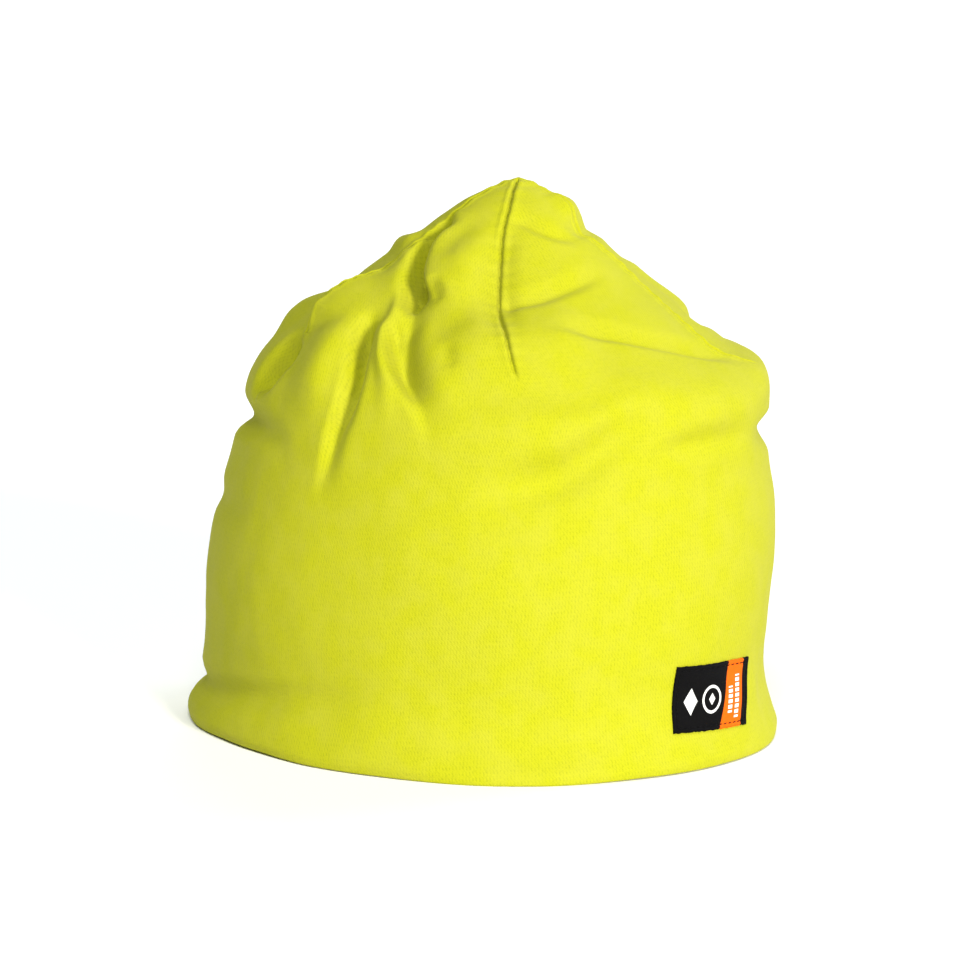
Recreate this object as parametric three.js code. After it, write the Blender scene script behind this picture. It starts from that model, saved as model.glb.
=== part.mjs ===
// High-visibility beanie: a soft jersey cap with four darts that meet at its tip, standing on its
// rolled hem, and a woven patch sewn on at the front.
// Millimetres, +Z up. The forehead faces -Y and the wearer's left is +X. The origin is the middle
// of the hem, on the plane that the hem rests on.

import * as THREE from 'three';
import { mergeVertices } from 'three/addons/utils/BufferGeometryUtils.js';

// Driving sizes of the cap
const WALL = 2.8;              // two layers of jersey
const TIP_RISE = 231;          // cloth from the hem's foot up to the tip
const DIAGONAL = 30;           // degrees left of the front, where the sections were measured
const SEAM_DEPTH = 1.2;        // how far a dart's seam sinks into the cloth
const SEAM_HALF_TURN = 2;      // degrees from a seam to the column on each side of it
const SEAM_FADE = 6;           // mm of cloth over which a seam sinks in at either end
const TIP_FADE = 5;            // mm of cloth below the tip that stay free of folds
const DRIFT_NEAR = 4;          // degrees beside a dart that follow it fully
const DRIFT_FAR = 30;          // degrees beside a dart that follow it no more
const PATH_STEP = 2;           // mm between the points that a fold's line is sampled at
const LEAST_HALF = 3;          // mm, the smallest half width that a fold's reach is measured at
const WELD = 0.001;            // mm within which two corners are one

// Driving sizes of the patch
const PATCH = { width: 36, height: 22.5, thick: 0.9, gap: 0.45, turn: -11.7, rise: 23.3, tilt: -4.2 };
const PATCH_CELLS = { across: 12, up: 5 };

// Level sections of the plain cap, from the hem up. rise is the length of cloth below the section,
// height its level, half its half width along the diagonal, lean how far its middle has moved along
// the diagonal, and ratio its width from side to side against its length from front to back.
const SECTIONS = [
  { rise: 0, height: 0, half: 100.4, lean: 0, ratio: 0.85 },
  { rise: 3, height: 3, half: 101.2, lean: 0, ratio: 0.85 },
  { rise: 8, height: 7.9, half: 99.8, lean: 0.1, ratio: 0.85 },
  { rise: 14, height: 13.8, half: 97.7, lean: 0.4, ratio: 0.85 },
  { rise: 21, height: 20.8, half: 96.2, lean: 0.6, ratio: 0.85 },
  { rise: 42, height: 41, half: 96.4, lean: 1.6, ratio: 0.85 },
  { rise: 58, height: 57, half: 96.4, lean: 2.9, ratio: 0.85 },
  { rise: 79, height: 78, half: 94.3, lean: 5, ratio: 0.85 },
  { rise: 97, height: 95, half: 91, lean: 6.4, ratio: 0.86 },
  { rise: 114, height: 112, half: 89.2, lean: 8.6, ratio: 0.87 },
  { rise: 120, height: 118, half: 88.2, lean: 9.3, ratio: 0.87 },
  { rise: 126, height: 122.8, half: 85.6, lean: 9.3, ratio: 0.88 },
  { rise: 132, height: 127, half: 81.8, lean: 8.5, ratio: 0.88 },
  { rise: 140, height: 132, half: 75.9, lean: 7, ratio: 0.88 },
  { rise: 157, height: 142.5, half: 63, lean: 6.6, ratio: 0.88 },
  { rise: 174, height: 153, half: 48.4, lean: 7.8, ratio: 0.88 },
  { rise: 190, height: 163, half: 36.2, lean: 8.8, ratio: 0.9 },
  { rise: 206, height: 173.6, half: 23.6, lean: 10.4, ratio: 0.92 },
  { rise: 215, height: 180, half: 15, lean: 11.4, ratio: 0.95 },
  { rise: 223, height: 184.2, half: 6.8, lean: 12.3, ratio: 1 },
  { rise: TIP_RISE, height: 186.8, half: 0, lean: 13, ratio: 1 },
];

// Darts. turn is the column of the net that runs up the seam, in degrees from the front towards the
// wearer's left, next the number of cells from this seam to the one after it, and path the seam's
// line as [turn, rise]. The seam itself starts at foot.
const DARTS = [
  { name: 'back', turn: -130, next: 26, foot: 133,
    path: [[-130, 95], [-130, 133], [-133, 146], [-136, 159], [-136, 172], [-133, 185], [-129, 197], [-125, 211]] },
  { name: 'right', turn: -62, next: 16, foot: 135,
    path: [[-62, 95], [-60, 136], [-61.5, 154], [-65, 172], [-66, 190], [-67.5, 205], [-66, 213]] },
  { name: 'front', turn: 10, next: 19, foot: 129,
    path: [[10, 95], [18, 129], [9, 141], [8, 152], [10, 172], [9, 187], [3, 203], [8, 216]] },
  { name: 'left', turn: 114, next: 22, foot: 135,
    path: [[114, 95], [118, 136], [117, 150], [114, 168], [111, 186], [110, 202], [112, 216]] },
];

// Folds. out is how far the cloth stands out at the fold's line, or in if negative; left and right
// are the fold's reach on either side of its line, in mm; sharp goes from 0, round, to 1, creased;
// ends are the shares of the line over which the fold grows and dies; path is its line as
// [turn, rise].
const FOLDS = [
  // gathers on the wearer's right, between the right dart and the back dart
  { name: 'right_dip', out: -2.2, left: 9, right: 9, sharp: 0, ends: [0.3, 0.3],
    path: [[-61, 148], [-64, 168], [-67, 190], [-67, 212]] },
  { name: 'right_fill', out: 3.5, left: 24, right: 22, sharp: 0, ends: [0.3, 0.3],
    path: [[-84, 152], [-60, 153], [-32, 153]] },
  { name: 'right_slump', out: -2.2, left: 15, right: 15, sharp: 0, ends: [0.3, 0.3],
    path: [[-86, 125], [-60, 127], [-30, 127]] },
  { name: 'middle_lobe', out: 5, left: 13, right: 15, sharp: 0, ends: [0.45, 0.4],
    path: [[-79, 156], [-82, 174], [-86, 190], [-92, 206]] },
  { name: 'middle_edge', out: 2.6, left: 10, right: 8, sharp: 0, ends: [0.3, 0.3],
    path: [[-117, 213], [-106, 191], [-97, 181], [-85, 166]] },
  { name: 'gully_high', out: -7.2, left: 10, right: 10, sharp: 0, ends: [0.2, 0.35],
    path: [[-125, 208], [-117, 193], [-109, 182], [-101, 172], [-95, 159]] },
  { name: 'gully_low', out: -5, left: 9, right: 8, sharp: 0, ends: [0.2, 0.5],
    path: [[-98, 167], [-95, 157], [-91, 146], [-87, 133], [-82, 119], [-78, 109]] },
  { name: 'gully_back', out: -6.5, left: 9, right: 9, sharp: 0, ends: [0.3, 0.6],
    path: [[-107, 166], [-102.5, 150], [-99.5, 136], [-99, 120], [-98.5, 102], [-98, 86]] },
  { name: 'ridge_back', out: 3.6, left: 8, right: 9, sharp: 0, ends: [0.35, 0.5],
    path: [[-113, 183], [-102.5, 170], [-96.5, 158], [-93.5, 146], [-91, 130], [-90, 112]] },
  { name: 'back_lobe', out: 4.8, left: 12, right: 13, sharp: 0, ends: [0.4, 0.4],
    path: [[-122, 169], [-114, 152], [-109.5, 134], [-109, 108]] },
  { name: 'pit', out: -7, left: 12, right: 12, sharp: 0, ends: [0, 0],
    path: [[-127.5, 130], [-126, 137]] },
  { name: 'pit_lip', out: 2.5, left: 8, right: 8, sharp: 0, ends: [0.3, 0.3],
    path: [[-136, 126], [-138, 136], [-134, 147]] },
  { name: 'seam_step', out: 2.6, left: 13, right: 8, sharp: 0, ends: [0.3, 0.3],
    path: [[-132, 174], [-131, 161], [-128.5, 150], [-124, 142]] },
  { name: 'back_bump', out: 3.6, left: 12, right: 12, sharp: 0, ends: [0.3, 0.3],
    path: [[-152, 148], [-162, 154], [-172, 152]] },
  { name: 'back_dent', out: -5, left: 9, right: 9, sharp: 0, ends: [0.25, 0.4],
    path: [[-190, 106], [-160, 107], [-133, 108], [-121, 106], [-111, 99]] },
  { name: 'side_dip', out: -1.7, left: 9, right: 9, sharp: 0, ends: [0.3, 0.4],
    path: [[-178, 78], [-150, 78], [-120, 80]] },

  // creases and soft valleys on the front right
  { name: 'crease_high', out: -2.4, left: 8, right: 5, sharp: 0.5, ends: [0.1, 0.5],
    path: [[-66, 170], [-53, 171], [-34.5, 177], [-6, 184]] },
  { name: 'crease_low', out: -2.6, left: 9, right: 5, sharp: 0.3, ends: [0.3, 0.3],
    path: [[-54, 158], [-33.5, 155.5], [-16.5, 148.5], [4, 139.5], [14, 134]] },
  { name: 'crease_tip', out: -1.8, left: 5, right: 5, sharp: 0.3, ends: [0.2, 0.4],
    path: [[-64, 209], [-50, 206.5], [-33, 201.5], [-8, 196.5]] },
  { name: 'broad_valley', out: -3.4, left: 14, right: 12, sharp: 0, ends: [0.4, 0.4],
    path: [[-72, 92], [-62, 97], [-51, 101], [-43.5, 109], [-35, 116], [-20, 122]] },
  { name: 'front_valley', out: -2.4, left: 8, right: 7, sharp: 0, ends: [0.4, 0.4],
    path: [[-40, 105], [-19, 109], [6.5, 109]] },
  { name: 'shoulder_notch', out: -4, left: 8, right: 10, sharp: 0, ends: [0.35, 0.35],
    path: [[-4, 109], [28, 106], [62, 105]] },

  // the gathered tip
  { name: 'tip_front', out: 2, left: 8, right: 8, sharp: 0, ends: [0.3, 0.3],
    path: [[-20, 212], [20, 211.5], [55, 210]] },
  { name: 'tip_notch', out: -2, left: 7, right: 7, sharp: 0, ends: [0.3, 0.3],
    path: [[-30, 202], [0, 202], [35, 200.5], [65, 202]] },
  { name: 'tip_back', out: 2.2, left: 8, right: 8, sharp: 0, ends: [0.3, 0.3],
    path: [[-130, 196], [-150, 193], [-175, 190]] },

  // gathers on the wearer's left
  { name: 'left_dip', out: -2, left: 9, right: 9, sharp: 0, ends: [0.3, 0.3],
    path: [[118, 146], [114, 168], [110, 190], [110, 212]] },
  { name: 'left_gully', out: -5.5, left: 8, right: 8, sharp: 0.2, ends: [0.35, 0.5],
    path: [[70, 188], [72, 170], [68, 152], [60, 134], [56, 116]] },
  { name: 'left_lobe', out: 4.5, left: 14, right: 12, sharp: 0, ends: [0.4, 0.4],
    path: [[90, 196], [90, 172], [88, 150], [84, 128]] },
  { name: 'far_lobe', out: 4, left: 13, right: 13, sharp: 0, ends: [0.4, 0.4],
    path: [[134, 190], [132, 168], [131, 146], [128, 124]] },
  { name: 'far_gully', out: -6.5, left: 8, right: 10, sharp: 0.2, ends: [0.35, 0.5],
    path: [[158, 204], [150, 186], [150, 166], [153, 148], [148, 128], [146, 110]] },
  { name: 'left_crease', out: -2.2, left: 8, right: 5, sharp: 0.4, ends: [0.1, 0.5],
    path: [[112, 166], [128, 172], [146, 180]] },
  { name: 'front_fill', out: 1.6, left: 11, right: 11, sharp: 0, ends: [0.25, 0.25],
    path: [[36, 187], [38, 170], [36, 152]] },
  { name: 'shoulder', out: 2.2, left: 12, right: 12, sharp: 0, ends: [0.25, 0.3],
    path: [[58, 129], [30, 129], [4, 125]] },
  { name: 'front_crease', out: -2.4, left: 8, right: 6, sharp: 0.3, ends: [0.3, 0.2],
    path: [[56, 142], [38, 150], [20, 158]] },
  { name: 'left_slump', out: -2.6, left: 15, right: 15, sharp: 0, ends: [0.25, 0.25],
    path: [[48, 124], [84, 121], [122, 123], [160, 125]] },
  { name: 'left_valley', out: -3, left: 11, right: 11, sharp: 0, ends: [0.4, 0.4],
    path: [[70, 92], [98, 100], [130, 108], [160, 116]] },

  // the hollow above the hem's roll
  { name: 'hem_valley_right', out: -3, left: 8, right: 8, sharp: 0, ends: [0.2, 0.5],
    path: [[-190, 14], [-146, 14], [-118, 18], [-100, 22], [-75, 26]] },
  { name: 'hem_valley_left', out: -1.8, left: 8, right: 8, sharp: 0, ends: [0.3, 0.3],
    path: [[60, 23], [100, 25], [140, 22]] },
];

// Rows of the net, in bands from the hem up: up to this rise, with this step
const ROWS_OUTSIDE = [
  { upTo: 3, step: 3 },
  { upTo: 21, step: 6 },
  { upTo: 81, step: 12 },
  { upTo: 225, step: 6 },
];
const ROWS_INSIDE = [
  { upTo: 9, step: 9 },
  { upTo: 21, step: 6 },
  { upTo: 81, step: 20 },
  { upTo: 213, step: 6 },
  { upTo: 225, step: 12 },
];

// Finishes
const CLOTH = new THREE.MeshStandardMaterial({ color: '#dfe81c', roughness: 0.95, metalness: 0 });
const WOVEN = new THREE.MeshStandardMaterial({ color: '#1d1d1f', roughness: 0.85, metalness: 0 });

const radians = THREE.MathUtils.degToRad;

// 0 to 1 with a level start and end
function ease(share) {
  return THREE.MathUtils.smoothstep(share, 0, 1);
}

// Smooth curve through a table's rows: the value of column `out` where column `key` is x
function through(rows, key, out, x) {
  const slope = (i) => (rows[i + 1][out] - rows[i][out]) / (rows[i + 1][key] - rows[i][key]);
  const gap = (i) => rows[i + 1][key] - rows[i][key];
  const tangent = (i) => {
    if (i === 0) return slope(0);
    if (i === rows.length - 1) return slope(i - 1);
    return (slope(i) * gap(i - 1) + slope(i - 1) * gap(i)) / (gap(i) + gap(i - 1));
  };
  if (x <= rows[0][key]) return rows[0][out];
  if (x >= rows[rows.length - 1][key]) return rows[rows.length - 1][out];
  let i = 0;
  while (x > rows[i + 1][key]) i += 1;
  const t = (x - rows[i][key]) / gap(i);
  const start = rows[i][out] * (1 + 2 * t) * (1 - t) ** 2 + gap(i) * tangent(i) * t * (1 - t) ** 2;
  const end = rows[i + 1][out] * t * t * (3 - 2 * t) + gap(i) * tangent(i + 1) * t * t * (t - 1);
  return start + end;
}

// Half lengths of the section at a rise, front to back and side to side
function sectionHalves(rise) {
  const ratio = through(SECTIONS, 'rise', 'ratio', rise);
  const half = through(SECTIONS, 'rise', 'half', rise);
  const along = half / Math.hypot(Math.cos(radians(DIAGONAL)), ratio * Math.sin(radians(DIAGONAL)));
  return { along, across: ratio * along };
}

// Point of the plain cap, before its folds
function plain(turn, rise) {
  const { along, across } = sectionHalves(rise);
  const lean = through(SECTIONS, 'rise', 'lean', rise);
  return new THREE.Vector3(
    lean * Math.sin(radians(DIAGONAL)) + across * Math.sin(radians(turn)),
    -lean * Math.cos(radians(DIAGONAL)) - along * Math.cos(radians(turn)),
    through(SECTIONS, 'rise', 'height', rise),
  );
}

// Outward direction of the plain cap; it is level at the foot and upright at the tip
function outward(turn, rise) {
  if (rise >= TIP_RISE) return new THREE.Vector3(0, 0, 1);
  const around = plain(turn + 1, rise).sub(plain(turn - 1, rise));
  const up = rise <= 0 ? new THREE.Vector3(0, 0, 1) : plain(turn, rise + 1).sub(plain(turn, rise - 1));
  return around.cross(up).normalize();
}

// Mean millimetres to a degree of turn at a rise
function perDegree(rise) {
  const { along, across } = sectionHalves(rise);
  return radians(Math.max((along + across) / 2, LEAST_HALF));
}

// A fold's line as evenly placed points, each with its direction and its distance from the start
function samplePath(path) {
  const curve = new THREE.CatmullRomCurve3(path.map(([turn, rise]) => new THREE.Vector3(turn, rise, 0)));
  const length = path.slice(1).reduce((sum, [turn, rise], i) => (
    sum + Math.hypot((turn - path[i][0]) * perDegree((rise + path[i][1]) / 2), rise - path[i][1])
  ), 0);
  const count = Math.max(2, Math.round(length / PATH_STEP));
  const samples = [];
  let run = 0;
  for (let i = 0; i <= count; i += 1) {
    const point = curve.getPoint(i / count);
    const tangent = curve.getTangent(i / count);
    const scale = perDegree(point.y);
    const size = Math.hypot(tangent.x * scale, tangent.y);
    const previous = samples[i - 1];
    if (previous) run += Math.hypot((point.x - previous.turn) * scale, point.y - previous.rise);
    samples.push({
      turn: point.x, rise: point.y, scale, run, towardTurn: (tangent.x * scale) / size, towardRise: tangent.y / size,
    });
  }
  return { samples, length: run };
}

const foldLines = FOLDS.map((fold) => ({ ...fold, ...samplePath(fold.path) }));

// Shortest way round from one turn to another
function turnBetween(from, to) {
  return THREE.MathUtils.euclideanModulo(to - from + 180, 360) - 180;
}

// How far one fold moves the cloth at a place
function foldHeight(fold, turn, rise) {
  let nearest = Infinity;
  let side = 0;
  let run = 0;
  for (const sample of fold.samples) {
    const dx = turnBetween(sample.turn, turn) * sample.scale;
    const dy = rise - sample.rise;
    const distance = Math.hypot(dx, dy);
    if (distance < nearest) {
      nearest = distance;
      side = sample.towardTurn * dy - sample.towardRise * dx;
      run = sample.run + sample.towardTurn * dx + sample.towardRise * dy;
    }
  }
  const reach = side >= 0 ? fold.left : fold.right;
  const beyond = Math.max(-run, run - fold.length, 0);
  const q = Math.min(1, Math.hypot(side, beyond) / reach);
  const shape = (1 - fold.sharp) * (1 - q * q) ** 3 + fold.sharp * (1 - q) ** 2;
  const [grow, die] = fold.ends;
  const growing = grow > 0 ? ease(run / fold.length / grow) : 1;
  const dying = die > 0 ? ease((1 - run / fold.length) / die) : 1;
  return fold.out * shape * growing * dying;
}

// Sum of all the folds at a place
function folds(turn, rise) {
  const height = foldLines.reduce((sum, fold) => sum + foldHeight(fold, turn, rise), 0);
  return height * ease((TIP_RISE - rise) / TIP_FADE);
}

// Where a dart's seam runs at a rise
function dartTurn(dart, rise) {
  const rows = dart.path.map(([turn, height]) => ({ turn, rise: height }));
  return through(rows, 'rise', 'turn', rise);
}

// A column of the net bends along with the darts beside it
function columnTurn(turn, rise) {
  return DARTS.reduce((bent, dart) => {
    const beside = Math.abs(turnBetween(dart.turn, turn));
    const follow = 1 - THREE.MathUtils.smoothstep(beside, DRIFT_NEAR, DRIFT_FAR);
    return bent + follow * (dartTurn(dart, rise) - dart.turn);
  }, turn);
}

// Depth of the seam's groove on the columns that run up the darts
function seamDepth(turn, rise) {
  const dart = DARTS.find((one) => turn === one.turn);
  if (!dart) return 0;
  return SEAM_DEPTH * ease((rise - dart.foot) / SEAM_FADE) * ease((TIP_RISE - rise) / SEAM_FADE);
}

// Outer face of the cloth, moved `off` millimetres along its outward direction
function cloth(turn, rise, off = 0) {
  return plain(turn, rise).addScaledVector(outward(turn, rise), folds(turn, rise) + off);
}

// Rises of the net's rows, from the hem up
function rowRises(bands) {
  const rises = [0];
  for (const band of bands) {
    const from = rises[rises.length - 1];
    const count = Math.round((band.upTo - from) / band.step);
    for (let i = 1; i <= count; i += 1) rises.push(from + ((band.upTo - from) * i) / count);
  }
  return rises;
}

// Turns of the net's columns, once round from the first dart and back to it
function columnTurns() {
  const turns = [DARTS[0].turn];
  DARTS.forEach((dart, i) => {
    const first = dart.turn + SEAM_HALF_TURN;
    const following = DARTS[(i + 1) % DARTS.length].turn + (i + 1 === DARTS.length ? 360 : 0);
    const last = following - SEAM_HALF_TURN;
    for (let cell = 0; cell <= dart.next; cell += 1) turns.push(first + ((last - first) * cell) / dart.next);
    turns.push(following);
  });
  return turns;
}

// The crown: a wall turned from the tip down inside to the foot and back up outside, then folded
function crown() {
  const rows = [
    { rise: TIP_RISE, inside: true },
    ...rowRises(ROWS_INSIDE).reverse().map((rise) => ({ rise, inside: true })),
    ...rowRises(ROWS_OUTSIDE).map((rise) => ({ rise, inside: false })),
    { rise: TIP_RISE, inside: false },
  ];
  const turns = columnTurns();
  const profile = rows.map(({ rise, inside }) => new THREE.Vector2(
    rise === TIP_RISE ? 0 : sectionHalves(rise).across - (inside ? WALL : 0),
    through(SECTIONS, 'rise', 'height', rise),
  ));
  const geometry = new THREE.LatheGeometry(profile, turns.length - 1);
  const position = geometry.attributes.position;
  turns.forEach((turn, column) => {
    rows.forEach(({ rise, inside }, row) => {
      const bent = columnTurn(turn, rise);
      const off = inside ? -WALL : -seamDepth(column === turns.length - 1 ? turns[0] : turn, rise);
      const point = cloth(bent, rise, off);
      if (rise === 0) point.z = 0;
      position.setXYZ(column * rows.length + row, point.x, point.y, point.z);
    });
  });
  geometry.deleteAttribute('normal');
  geometry.deleteAttribute('uv');
  const merged = mergeVertices(geometry, WELD);
  merged.computeVertexNormals();
  const mesh = new THREE.Mesh(merged, CLOTH);
  mesh.name = 'crown';
  return mesh;
}

// The patch: a flat woven strip bent onto the cloth just clear of it
function patch() {
  const geometry = new THREE.BoxGeometry(
    PATCH.width, PATCH.height, PATCH.thick, PATCH_CELLS.across, PATCH_CELLS.up, 1,
  );
  const position = geometry.attributes.position;
  const tilt = radians(PATCH.tilt);
  for (let i = 0; i < position.count; i += 1) {
    const across = position.getX(i) * Math.cos(tilt) - position.getY(i) * Math.sin(tilt);
    const up = position.getX(i) * Math.sin(tilt) + position.getY(i) * Math.cos(tilt);
    const off = PATCH.gap + PATCH.thick / 2 + position.getZ(i);
    const rise = PATCH.rise + up;
    const point = cloth(PATCH.turn + across / perDegreeFront(rise), rise, off);
    position.setXYZ(i, point.x, point.y, point.z);
  }
  geometry.deleteAttribute('normal');
  geometry.deleteAttribute('uv');
  const merged = mergeVertices(geometry, WELD);
  merged.computeVertexNormals();
  const mesh = new THREE.Mesh(merged, WOVEN);
  mesh.name = 'label';
  return mesh;
}

// Millimetres to a degree of turn where the patch is
function perDegreeFront(rise) {
  return plain(PATCH.turn + 0.5, rise).distanceTo(plain(PATCH.turn - 0.5, rise));
}

const beanie = new THREE.Group();
beanie.add(crown(), patch());

export default beanie;
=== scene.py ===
"""High-visibility beanie, dressed: a cap of doubled jersey with four darts that meet at its tip.

It stands on its rolled hem, with a small woven patch stitched on near the front. Tables and sizes are
in millimetres and degrees; Blender's own lengths are metres. The forehead faces -Y and the wearer's
left is +X.
"""

import logging
import math
from dataclasses import dataclass, field
from enum import Enum

import bmesh
import bpy
import numpy as np
from mathutils import Matrix, Vector, noise


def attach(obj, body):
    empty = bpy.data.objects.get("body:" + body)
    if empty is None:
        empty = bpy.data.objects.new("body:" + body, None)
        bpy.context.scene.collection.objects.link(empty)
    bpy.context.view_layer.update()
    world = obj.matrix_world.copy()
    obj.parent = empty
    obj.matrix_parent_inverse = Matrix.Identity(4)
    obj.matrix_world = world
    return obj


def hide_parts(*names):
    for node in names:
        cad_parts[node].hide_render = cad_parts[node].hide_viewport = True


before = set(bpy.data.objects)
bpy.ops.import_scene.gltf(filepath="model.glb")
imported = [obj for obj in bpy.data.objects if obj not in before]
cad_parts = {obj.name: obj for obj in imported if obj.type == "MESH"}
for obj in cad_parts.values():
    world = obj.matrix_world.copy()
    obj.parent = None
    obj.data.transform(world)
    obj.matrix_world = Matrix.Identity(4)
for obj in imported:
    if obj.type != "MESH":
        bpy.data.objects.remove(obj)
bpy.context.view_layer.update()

log = logging.getLogger("beanie")

MM = 0.001
FULL_TURN = 360.0
BODY = "root"


# The cap's shape


@dataclass(frozen=True)
class Section:
    """Level section of the plain cap.

    rise is the length of cloth below it, height its level, half its half width along the cap's
    diagonal, lean how far its middle has moved along the diagonal, and ratio its width from side to
    side against its length from front to back.
    """

    rise: float
    height: float
    half: float
    lean: float
    ratio: float


@dataclass(frozen=True)
class Fold:
    """Fold of the cloth along a line.

    out is how far the cloth stands out at the line, or in if negative. left and right are the reach
    on either side of the line. sharp goes from 0, round, to 1, creased. ends are the shares of the
    line over which the fold grows and dies, and slide is how far the cloth at the line is pushed
    to its left. path holds the line as (turn, rise).
    """

    name: str
    out: float
    left: float
    right: float
    path: tuple
    sharp: float = 0.0
    ends: tuple = (0.3, 0.3)
    slide: float = 0.0


@dataclass(frozen=True)
class Dart:
    """Dart of the cap: a seam that starts at foot and runs up to the tip along path, (turn, rise).

    turn is the column of the net that becomes the seam.
    """

    name: str
    turn: float
    foot: float
    path: tuple


SECTIONS = (
    Section(0, 0, 100.4, 0, 0.85),
    Section(3, 3, 101.2, 0, 0.85),
    Section(8, 7.9, 99.8, 0.1, 0.85),
    Section(14, 13.8, 97.7, 0.4, 0.85),
    Section(21, 20.8, 96.2, 0.6, 0.85),
    Section(42, 41, 96.4, 1.6, 0.85),
    Section(58, 57, 96.4, 2.9, 0.85),
    Section(79, 78, 94.3, 5, 0.85),
    Section(97, 95, 91, 6.4, 0.86),
    Section(114, 112, 89.2, 8.6, 0.87),
    Section(120, 118, 88.2, 9.3, 0.87),
    Section(126, 122.8, 85.6, 9.3, 0.88),
    Section(132, 127, 81.8, 8.5, 0.88),
    Section(140, 132, 75.9, 7, 0.88),
    Section(157, 142.5, 63, 6.6, 0.88),
    Section(174, 153, 48.4, 7.8, 0.88),
    Section(190, 163, 36.2, 8.8, 0.9),
    Section(206, 173.6, 23.6, 10.4, 0.92),
    Section(215, 180, 15, 11.4, 0.95),
    Section(223, 184.2, 6.8, 12.3, 1),
    Section(231, 186.8, 0, 13, 1),
)

DARTS = (
    Dart("back", -130, 133, ((-130, 95), (-130, 133), (-130.5, 146), (-131.5, 159), (-132, 172), (-131, 185),
                             (-128, 197), (-125, 211))),
    Dart("right", -62, 135, ((-62, 95), (-60, 136), (-61.5, 154), (-65, 172), (-66, 190), (-67.5, 205),
                             (-66, 213))),
    Dart("front", 10, 129, ((10, 95), (18, 129), (9, 141), (8, 152), (10, 172), (9, 187), (3, 203),
                            (8, 216))),
    Dart("left", 114, 135, ((114, 95), (118, 136), (117, 150), (114, 168), (111, 186), (110, 202),
                            (112, 216))),
)

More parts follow.
